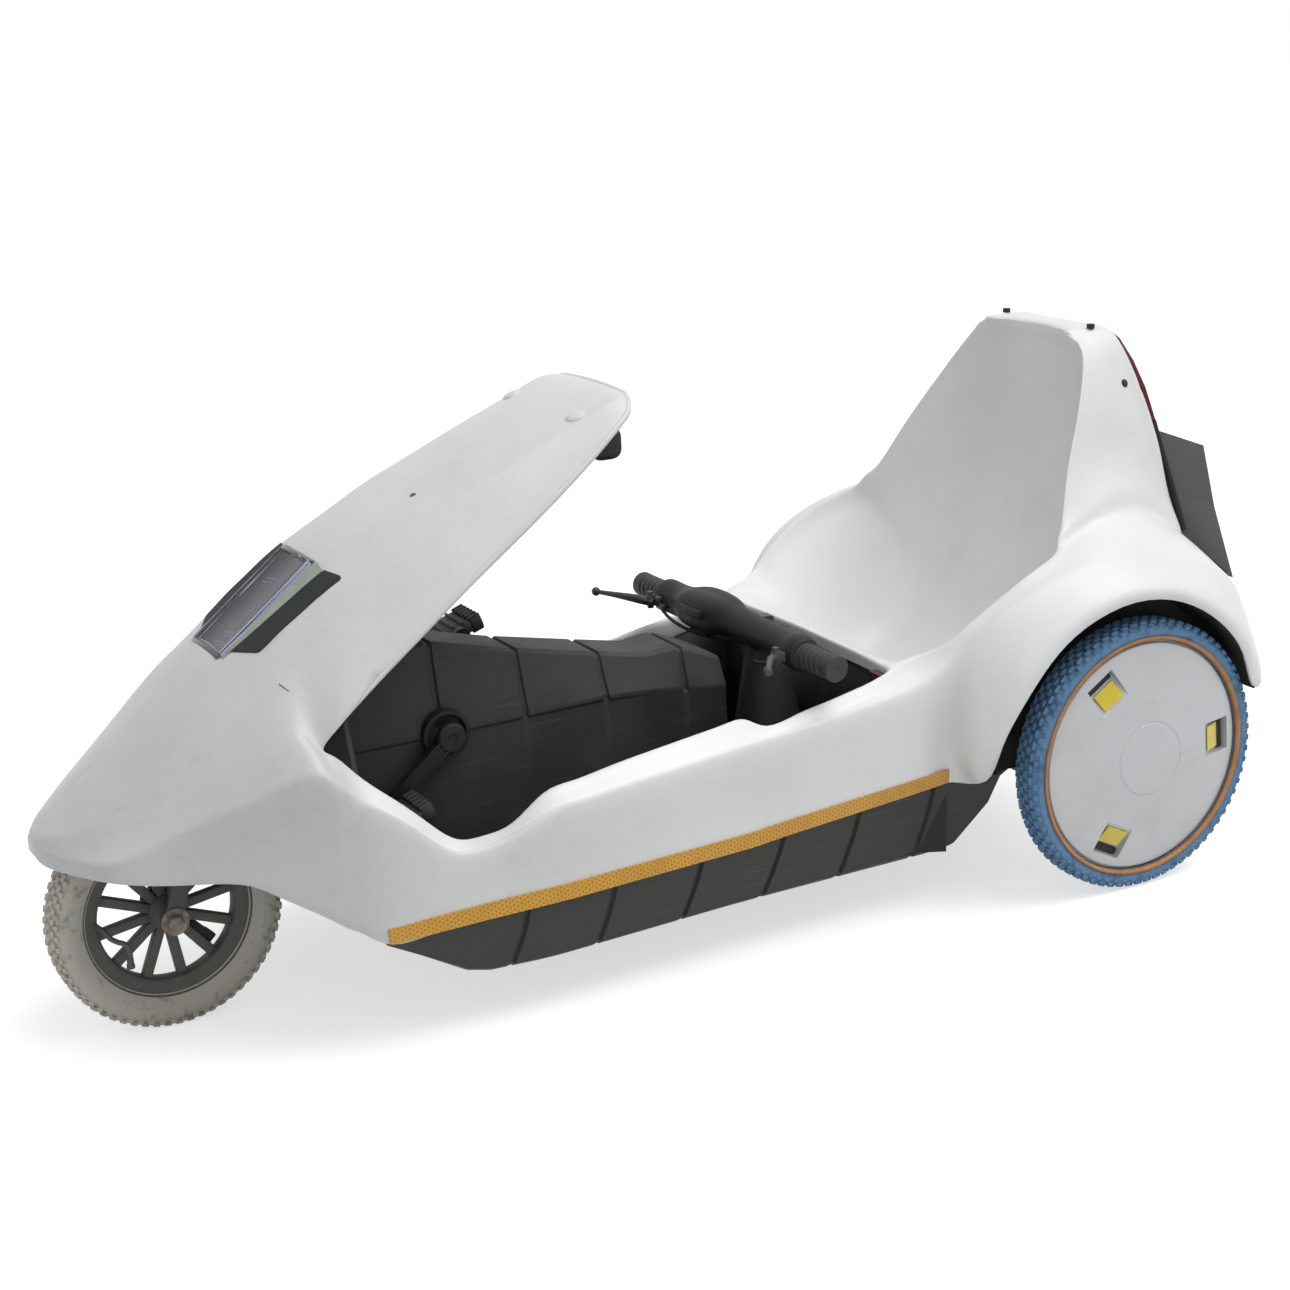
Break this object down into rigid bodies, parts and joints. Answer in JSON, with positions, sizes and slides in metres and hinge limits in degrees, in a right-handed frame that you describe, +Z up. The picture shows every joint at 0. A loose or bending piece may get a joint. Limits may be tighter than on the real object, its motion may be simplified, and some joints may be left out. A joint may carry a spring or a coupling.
{
  "type": "three wheeled car",
  "caption": "Low open single-seat three-wheeler with a wedge nose and cowl, bucket seat tower, pedals and under-knee handlebar; one steered front wheel and two covered rear wheels.",
  "frame": {"origin": "on the floor under the middle of the bounding box", "axes": "+Z up, the nose points along -X, the rider's left side is -Y"},
  "size_m": [1.796, 0.7428, 0.795],
  "materials": {
    "white_shell": "satin moulded plastic",
    "amber_tape": "reflective tape",
    "dark_plastic": "grained moulded plastic",
    "black_plastic": "satin",
    "lamp_lens": "tinted clear plastic",
    "red_lens": "dark red lens",
    "grip_rubber": "ribbed rubber",
    "black_steel": "black paint",
    "plain_steel": "worn",
    "motor_metal": "painted casting",
    "battery_case": "plain",
    "grey_rim": "dusty nylon",
    "pale_rim": "nylon",
    "cover_plastic": "satin",
    "grey_tyre": "dusty",
    "blue_tyre": "blue rubber"
  },
  "bodies": {
    "chassis": {"front_cowl": "white_shell", "left_side_panel": "white_shell", "right_side_panel": "white_shell", "seat_shell": "white_shell", "tail_shell": "white_shell", "left_rear_arch": "white_shell", "right_rear_arch": "white_shell", "cowl_caps": "white_shell", "left_trim_strip": "amber_tape", "right_trim_strip": "amber_tape", "lower_tray": "dark_plastic", "centre_tunnel": "dark_plastic", "front_bulkhead": "dark_plastic", "steering_pedestal": "dark_plastic", "boot_tub": "dark_plastic", "headlamp_side_panels": "dark_plastic", "headlamp_housing": "black_plastic", "headlamp_lens": "lamp_lens", "tail_lamp": "red_lens", "instrument_pod": "black_plastic", "switch_box": "black_plastic", "seat_back_studs": "black_plastic", "chassis_spine": "black_steel", "boot_hinges": "black_steel", "rear_axle": "plain_steel", "drive_motor": "motor_metal", "battery": "battery_case"},
    "front_fork": {"front_fork": "black_steel", "front_axle": "plain_steel"},
    "front_wheel": {"front_rim": "grey_rim", "front_tyre": "grey_tyre"},
    "handlebar": {"handlebar": "black_steel", "bar_cover": "black_plastic", "handlebar_grips": "grip_rubber", "brake_levers": "black_plastic"},
    "left_rear_wheel": {"left_rear_rim": "pale_rim", "left_rear_tyre": "blue_tyre", "left_wheel_cover": "cover_plastic"},
    "right_rear_wheel": {"right_rear_rim": "pale_rim", "right_rear_tyre": "blue_tyre", "right_wheel_cover": "cover_plastic"},
    "crankset": {"crankset": "black_steel"},
    "left_pedal": {"left_pedal": "black_plastic"},
    "right_pedal": {"right_pedal": "black_plastic"},
    "boot_lid": {"boot_lid": "dark_plastic"}
  },
  "joints": [
    {"name": "handlebar_steer", "type": "hinge", "parent": "chassis", "child": "handlebar", "pos_m": [0.219, 0, 0.404], "axis": [0, 0, 1], "range_deg": [-22, 22]},
    {"name": "fork_steer", "type": "hinge", "parent": "chassis", "child": "front_fork", "pos_m": [-0.67027, 0, 0.34832], "axis": [0.2588, 0, 0.9659], "range_deg": [-22, 22]},
    {"name": "front_wheel_spin", "type": "hinge", "parent": "front_fork", "child": "front_wheel", "pos_m": [-0.721, 0, 0.159], "axis": [0, 1, 0], "continuous": true},
    {"name": "left_rear_wheel_spin", "type": "hinge", "parent": "chassis", "child": "left_rear_wheel", "pos_m": [0.644, -0.33, 0.203], "axis": [0, 1, 0], "continuous": true},
    {"name": "right_rear_wheel_spin", "type": "hinge", "parent": "chassis", "child": "right_rear_wheel", "pos_m": [0.644, 0.33, 0.203], "axis": [0, 1, 0], "continuous": true},
    {"name": "crank_spin", "type": "hinge", "parent": "chassis", "child": "crankset", "pos_m": [-0.331, 0, 0.35], "axis": [0, 1, 0], "continuous": true},
    {"name": "left_pedal_spin", "type": "hinge", "parent": "crankset", "child": "left_pedal", "pos_m": [-0.43203, -0.134, 0.26819], "axis": [0, 1, 0], "continuous": true},
    {"name": "right_pedal_spin", "type": "hinge", "parent": "crankset", "child": "right_pedal", "pos_m": [-0.22997, 0.134, 0.43181], "axis": [0, 1, 0], "continuous": true},
    {"name": "boot_lid_hinge", "type": "hinge", "parent": "chassis", "child": "boot_lid", "pos_m": [0.80738, 0, 0.646], "axis": [0, -1, 0], "range_deg": [0, 80]}
  ],
  "couplings": [
    {"joint": "fork_steer", "follows": "handlebar_steer", "ratio": 1}
  ]
}
